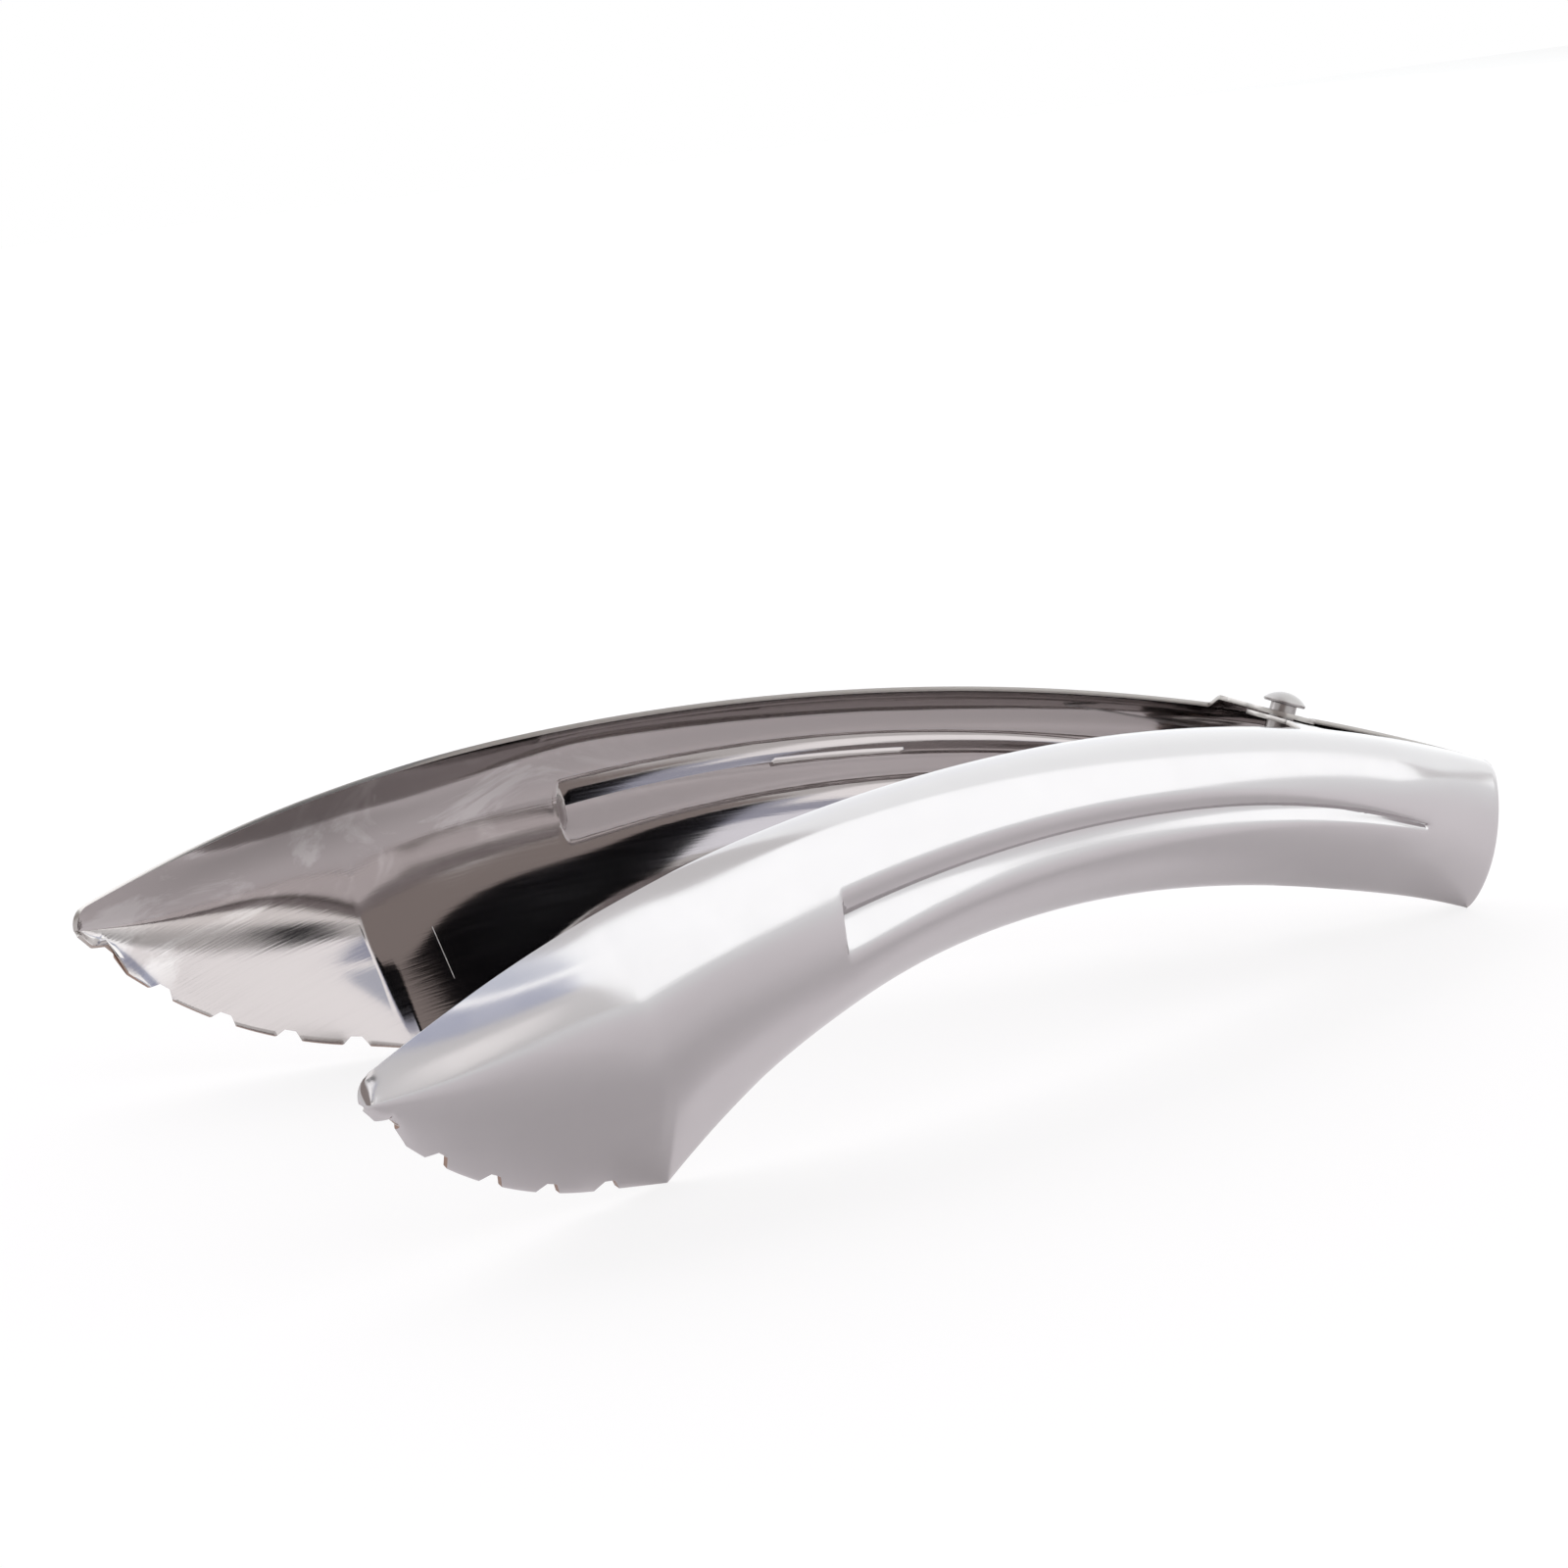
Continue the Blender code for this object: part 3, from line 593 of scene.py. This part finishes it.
def stretchedNoise(tree, scale, detail, roughness, distortion, shift):
    # noise on the sheet's own coordinates, in cells per metre along and across it
    place = addNode(tree, "ShaderNodeTexCoord")
    mapping = addNode(tree, "ShaderNodeMapping", {"Scale": (*scale, 1), "Location": shift})
    noise = addNode(tree, "ShaderNodeTexNoise", {"Scale": 1.0, "Detail": detail, "Roughness": roughness,
                                                 "Distortion": distortion})
    tree.links.new(place.outputs["UV"], mapping.inputs["Vector"])
    tree.links.new(mapping.outputs[0], noise.inputs["Vector"])
    return noise.outputs["Fac"]


def ranged(tree, value, low, high, toLow=0.0, toHigh=1.0):
    span = addNode(tree, "ShaderNodeMapRange", {"From Min": low, "From Max": high,
                                                "To Min": toLow, "To Max": toHigh})
    tree.links.new(value, span.inputs["Value"])
    return span.outputs[0]


def tint(tree, share, colourA, colourB):
    mixed = addNode(tree, "ShaderNodeMix", data_type="RGBA")
    mixed.inputs["A"].default_value = (*colourA, 1)
    mixed.inputs["B"].default_value = (*colourB, 1)
    tree.links.new(share, mixed.inputs["Factor"])
    return mixed.outputs["Result"]


# each noise: cells per metre along and across, detail, roughness, distortion, shift
marks = {
    "lines": ((60, 2600), 3.0, 0.6, 0.0, (0, 0, 0)), "lineRange": (0.3, 0.7),
    "haze": ((70, 110), 4.0, 0.6, 0.4, (3, 7, 0)), "hazeRange": (0.35, 0.7),
    # patches: where the painted shade on the inner sides is paler
    "patch": ((38, 62), 6.0, 0.62, 1.6, (11, 2, 0)), "patchEdge": (0.50, 0.60),
    "patchFrom": (0.150, 0.185), "patchTo": (0.016, 0.021),      # ahead of here, and above here
}


def makeMarks():
    # fine polishing lines, soft haze, and paler patches with an edge, where the painted shade on the arms'
    # inner sides lifts
    group, out = newGroup("polishAndShadeMarks", ("Lines", "Haze", "Patches"))
    lines = stretchedNoise(group, *marks["lines"])
    haze = stretchedNoise(group, *marks["haze"])
    patch = stretchedNoise(group, *marks["patch"])
    group.links.new(ranged(group, lines, *marks["lineRange"]), out.inputs["Lines"])
    group.links.new(ranged(group, haze, *marks["hazeRange"]), out.inputs["Haze"])
    place = addNode(group, "ShaderNodeTexCoord")
    parts = addNode(group, "ShaderNodeSeparateXYZ")
    group.links.new(place.outputs["UV"], parts.inputs[0])
    inJaw = addNode(group, "ShaderNodeMath", operation="MULTIPLY")
    group.links.new(ranged(group, patch, *marks["patchEdge"]), inJaw.inputs[0])
    group.links.new(ranged(group, parts.outputs["X"], *marks["patchFrom"]), inJaw.inputs[1])
    aboveRidge = addNode(group, "ShaderNodeMath", operation="MULTIPLY")
    group.links.new(inJaw.outputs[0], aboveRidge.inputs[0])
    group.links.new(ranged(group, parts.outputs["Y"], *marks["patchTo"], 1.0, 0.0), aboveRidge.inputs[1])
    group.links.new(aboveRidge.outputs[0], out.inputs["Patches"])
    return group


scratchLook = {"from": (0.2004, 0.0290), "to": (0.1995, 0.0380), "halfWidth": 0.00006}


def makeScratch():
    # the distance to a short line on the sheet
    group, out = newGroup("hairline", ("Mask",))
    place = addNode(group, "ShaderNodeTexCoord")
    start, end = Vector((*scratchLook["from"], 0)), Vector((*scratchLook["to"], 0))
    run = end - start
    offset = addNode(group, "ShaderNodeVectorMath", {1: start}, operation="SUBTRACT")
    group.links.new(place.outputs["UV"], offset.inputs[0])
    way = addNode(group, "ShaderNodeVectorMath", {1: run / run.length_squared}, operation="DOT_PRODUCT")
    group.links.new(offset.outputs[0], way.inputs[0])
    share = addNode(group, "ShaderNodeClamp")
    group.links.new(way.outputs["Value"], share.inputs["Value"])
    nearest = addNode(group, "ShaderNodeVectorMath", operation="SCALE")
    nearest.inputs[0].default_value = run
    group.links.new(share.outputs[0], nearest.inputs["Scale"])
    gap = addNode(group, "ShaderNodeVectorMath", operation="DISTANCE")
    group.links.new(offset.outputs[0], gap.inputs[0])
    group.links.new(nearest.outputs[0], gap.inputs[1])
    half = scratchLook["halfWidth"]
    group.links.new(ranged(group, gap.outputs["Value"], half * 0.5, half, 1.0, 0.0), out.inputs["Mask"])
    return group


def useGroup(tree, group):
    node = addNode(tree, "ShaderNodeGroup")
    node.node_tree = group
    return node


def addLines(tree, shader, height, strength):
    bump = addNode(tree, "ShaderNodeBump", {"Strength": strength, "Distance": steelLook["lineHeight"]})
    tree.links.new(height, bump.inputs["Height"])
    tree.links.new(bump.outputs[0], shader.inputs["Normal"])


polishAndShadeMarks = makeMarks()
hairline = makeScratch()
steelLook = {
    "outer": (0.50, 0.48, 0.485), "outerHazy": (0.49, 0.47, 0.475), "outerRoughness": (0.13, 0.17),
    # inner sides: painted shade, darker than the outer steel of the same sheet, and paler in the patches
    "inner": (0.40, 0.37, 0.365), "innerPale": (0.50, 0.475, 0.47), "innerRoughness": (0.07, 0.13),
    "scratch": (0.9, 0.9, 0.9),
    "edge": (0.46, 0.44, 0.42), "edgeWarm": (0.30, 0.21, 0.17), "edgeRoughness": 0.35,
    "edgeWarmFrom": (0.004, 0.010),
    "rivet": (0.36, 0.34, 0.335), "rivetRoughness": 0.30,
    "spring": (0.42, 0.41, 0.41), "springRoughness": 0.28,
    "lineHeight": 0.00001, "outerLines": 0.12, "innerLines": 0.3,
}


def makeOuter():
    material, tree, shader = shadeSlot("outerSteel", steelLook["outer"], steelLook["outerRoughness"][0])
    seen = useGroup(tree, polishAndShadeMarks)
    tree.links.new(tint(tree, seen.outputs["Haze"], steelLook["outer"], steelLook["outerHazy"]),
                   shader.inputs["Base Color"])
    tree.links.new(ranged(tree, seen.outputs["Haze"], 0, 1, *steelLook["outerRoughness"]),
                   shader.inputs["Roughness"])
    addLines(tree, shader, seen.outputs["Lines"], steelLook["outerLines"])
    return material


def makeInner(name, scratched):
    # painted shade: the inner side's base colour is darker than the outer steel's, and lifted to a paler
    # tone in the patches
    material, tree, shader = shadeSlot(name, steelLook["inner"], steelLook["innerRoughness"][0])
    seen = useGroup(tree, polishAndShadeMarks)
    colour = tint(tree, seen.outputs["Patches"], steelLook["inner"], steelLook["innerPale"])
    rough = ranged(tree, seen.outputs["Lines"], 0, 1, *steelLook["innerRoughness"])
    if scratched:
        mask = useGroup(tree, hairline).outputs["Mask"]
        both = addNode(tree, "ShaderNodeMix", data_type="RGBA")
        both.inputs["B"].default_value = (*steelLook["scratch"], 1)
        tree.links.new(mask, both.inputs["Factor"])
        tree.links.new(colour, both.inputs["A"])
        colour = both.outputs["Result"]
        most = addNode(tree, "ShaderNodeMath", operation="MAXIMUM")
        tree.links.new(mask, most.inputs[0])
        tree.links.new(rough, most.inputs[1])
        rough = most.outputs[0]
    tree.links.new(colour, shader.inputs["Base Color"])
    tree.links.new(rough, shader.inputs["Roughness"])
    addLines(tree, shader, seen.outputs["Lines"], steelLook["innerLines"])
    return material


def makeEdge():
    # pale along the top rim, darker and brown along the lower one and the teeth
    material, tree, shader = shadeSlot("edgeSteel", steelLook["edge"], steelLook["edgeRoughness"])
    place = addNode(tree, "ShaderNodeTexCoord")
    parts = addNode(tree, "ShaderNodeSeparateXYZ")
    tree.links.new(place.outputs["UV"], parts.inputs[0])
    lowerEdgeShare = ranged(tree, parts.outputs["Y"], *steelLook["edgeWarmFrom"])
    tree.links.new(tint(tree, lowerEdgeShare, steelLook["edge"], steelLook["edgeWarm"]),
                   shader.inputs["Base Color"])
    return material


outerSteel, edgeSteel = makeOuter(), makeEdge()
leftSteels = (outerSteel, makeInner("shadedInnerSteelScratched", True), edgeSteel)
rightSteels = (outerSteel, makeInner("shadedInnerSteel", False), edgeSteel)
rivetSteel = shadeSlot("rivetSteel", steelLook["rivet"], steelLook["rivetRoughness"])[0]
springSteel = shadeSlot("springSteel", steelLook["spring"], steelLook["springRoughness"])[0]
print("materials ready")

# pieces: the left arm's ears lie outside the right arm's
step = sheet + hinge["earGap"]
topEar, bottomEar = hinge["topEar"] + step, hinge["bottomEar"] - step
leftArm = makeArm("leftArm", 1, topEar, bottomEar, leftSteels)
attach(leftArm, "left_arm")
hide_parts("arm_left")
rightArm = makeArm("rightArm", -1, hinge["topEar"], hinge["bottomEar"], rightSteels)
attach(rightArm, "right_arm")
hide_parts("arm_right")
hingeRivet = makeRivet(topEar + sheet / 2, bottomEar - sheet / 2, rivetSteel)
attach(hingeRivet, "left_arm")
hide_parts("hinge_rivet")
torsionSpring, coilLow, coilHigh = makeSpring(springSteel)
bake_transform(torsionSpring)
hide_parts("torsion_spring")

# floor with painted shade round the object, room and studio panels
def plainMaterial(name):
    material = bpy.data.materials.new(name)
    material.use_nodes = True
    return material, material.node_tree, material.node_tree.nodes["Principled BSDF"]


def seenShare(tree, camera, mirrored):
    # how far the camera's rays, and those that metal or glass sends on, see plain white
    path = addNode(tree, "ShaderNodeLightPath")
    sentOn = addNode(tree, "ShaderNodeMath", operation="MAXIMUM")
    tree.links.new(path.outputs["Is Glossy Ray"], sentOn.inputs[0])
    tree.links.new(path.outputs["Is Transmission Ray"], sentOn.inputs[1])
    weaker = addNode(tree, "ShaderNodeMath", {1: mirrored}, operation="MULTIPLY")
    tree.links.new(sentOn.outputs[0], weaker.inputs[0])
    direct = addNode(tree, "ShaderNodeMath", {1: camera}, operation="MULTIPLY_ADD")
    tree.links.new(path.outputs["Is Camera Ray"], direct.inputs[0])
    tree.links.new(weaker.outputs[0], direct.inputs[2])
    return direct.outputs[0]


room = {
    "floorSize": 3.0, "floorPaintedShade": (0.86, 0.80, 0.815), "floorFar": (0.95, 0.95, 0.95),
    "paintedShadeUntil": 0.10, "paintedShadeGoneBy": 0.38, "floorRoughness": 0.9,
    "floorGlow": 0.80, "mirroredGlow": 0.20, "light": 0.25,
}
bpy.ops.mesh.primitive_plane_add(size=room["floorSize"])
floor = bpy.context.object
floor.name = "floor"
floorPaint, floorTree, floorShader = plainMaterial("floorPaint")
floorShader.inputs["Roughness"].default_value = room["floorRoughness"]
# painted shade: the floor's colour is darker and mauve close to the object and fades to pale further out,
# standing in for the object's shadow as the metal sees it
spot = addNode(floorTree, "ShaderNodeTexCoord")
away = addNode(floorTree, "ShaderNodeVectorMath", operation="LENGTH")
floorTree.links.new(spot.outputs["Object"], away.inputs[0])
shadeFading = addNode(floorTree, "ShaderNodeMapRange", interpolation_type="SMOOTHSTEP")
shadeFading.inputs["From Min"].default_value = room["paintedShadeUntil"]
shadeFading.inputs["From Max"].default_value = room["paintedShadeGoneBy"]
floorTree.links.new(away.outputs["Value"], shadeFading.inputs["Value"])
floorShadeTone = addNode(floorTree, "ShaderNodeMix", data_type="RGBA")
floorShadeTone.inputs["A"].default_value = (*room["floorPaintedShade"], 1)
floorShadeTone.inputs["B"].default_value = (*room["floorFar"], 1)
floorTree.links.new(shadeFading.outputs[0], floorShadeTone.inputs["Factor"])
floorTree.links.new(floorShadeTone.outputs["Result"], floorShader.inputs["Base Color"])
glow = addNode(floorTree, "ShaderNodeEmission", {"Color": (1, 1, 1, 1), "Strength": 1.0})
floorMix = addNode(floorTree, "ShaderNodeMixShader")
floorTree.links.new(seenShare(floorTree, room["floorGlow"], room["mirroredGlow"]), floorMix.inputs[0])
floorTree.links.new(floorShader.outputs[0], floorMix.inputs[1])
floorTree.links.new(glow.outputs[0], floorMix.inputs[2])
floorTree.links.new(floorMix.outputs[0], floorTree.nodes["Material Output"].inputs[0])
floor.data.materials.append(floorPaint)

world = bpy.data.worlds.new("room")
world.use_nodes = True
bpy.context.scene.world = world
roomTree = world.node_tree
background = roomTree.nodes["Background"]
strength = addNode(roomTree, "ShaderNodeMapRange", {"To Min": room["light"], "To Max": 1.0})
roomTree.links.new(seenShare(roomTree, 1, 1), strength.inputs["Value"])
background.inputs["Color"].default_value = (1, 1, 1, 1)
roomTree.links.new(strength.outputs[0], background.inputs["Strength"])

# each panel: compass degrees from the front towards the right, degrees up, metres away,
# degrees wide and high, degrees turned, colour and brightness
panels = {
    "softboxFrontRight": (57, 27, 1.5, 52, 64, 0, (0.965, 0.995, 1.0), 2.0),
    "softboxRight": (112, 30, 1.5, 56, 66, 0, (0.965, 0.995, 1.0), 1.6),
    "softboxBackRight": (158, 30, 1.5, 50, 66, 0, (0.95, 0.98, 1.0), 1.6),
    "softboxBack": (-160, 42, 1.5, 70, 50, 0, (0.96, 0.97, 1.0), 2.3),
    "softboxFront": (10, 40, 1.3, 17, 24, 0, (0.98, 0.99, 1.0), 1.85),
    "stripFront": (-2, 71, 1.5, 26, 22, 0, (0.90, 0.93, 1.0), 1.7),
    "blueStrip": (-4, 51, 1.4, 13, 18, 0, (0.78, 0.82, 1.0), 0.85),
    "blackFlag": (-47.5, 54.5, 1.15, 57, 38, -45, (0.5, 0.5, 0.6), 0.01),
    "greyFlag": (-36, 19, 1.05, 54, 40, 0, (0.50, 0.44, 0.42), 0.85),
    "blueCard": (20.5, 33, 1.25, 8, 14, 0, (0.72, 0.78, 1.0), 0.85),
    "blueCardHigh": (22, 55, 1.25, 9, 22, 0, (0.80, 0.86, 1.0), 1.1),
    "slateCard": (9, 24.5, 1.2, 5, 9, -20, (0.80, 0.80, 1.0), 0.02),
    "softboxLow": (12, 11, 1.3, 20, 15, 0, (1.0, 0.99, 0.98), 1.5),
}
studioCentre = Vector((0, 0, 0.03))
for name, (compass, up, away, wide, high, turn, colour, power) in panels.items():
    bpy.ops.mesh.primitive_plane_add(size=1)
    panel = bpy.context.object
    panel.name = name
    a, e = math.radians(compass), math.radians(up)
    out = Vector((math.sin(a) * math.cos(e), -math.cos(a) * math.cos(e), math.sin(e)))
    panel.location = studioCentre + out * away
    facing = (-out).to_track_quat("-Z", "Y") @ Quaternion((0, 0, 1), math.radians(turn))
    panel.rotation_euler = facing.to_euler()
    panel.scale = [2 * away * math.tan(math.radians(size / 2)) for size in (wide, high)] + [1]
    cloth, clothTree, _ = plainMaterial(name)
    lit = addNode(clothTree, "ShaderNodeEmission", {"Color": (*colour, 1), "Strength": power})
    clothTree.links.new(lit.outputs[0], clothTree.nodes["Material Output"].inputs[0])
    panel.data.materials.append(cloth)
    panel.visible_camera = False
    panel.visible_shadow = False
    if power < 1:        # dark cards show in the metal only
        panel.visible_diffuse = False
print("floor and", len(panels), "panels ready")

# camera
view = {
    "lens": 106.64, "near": 0.01,
    "place": (-0.4549, -0.6719, 0.0212), "ahead": (0.4751, 0.8785, -0.0501),
    "right": (0.8571, -0.4491, 0.2524),
}
cameraData = bpy.data.cameras.new("camera")
cameraData.lens = view["lens"]
cameraData.clip_start = view["near"]
camera = bpy.data.objects.new("camera", cameraData)
bpy.context.scene.collection.objects.link(camera)
ahead = Vector(view["ahead"]).normalized()
right = Vector(view["right"])
right = (right - ahead * right.dot(ahead)).normalized()
turn = Matrix((right, right.cross(ahead), -ahead)).transposed().to_4x4()
camera.matrix_world = hingeToWorld @ Matrix.Translation(view["place"]) @ turn
bpy.context.scene.camera = camera
bpy.context.scene.view_settings.view_transform = "Standard"
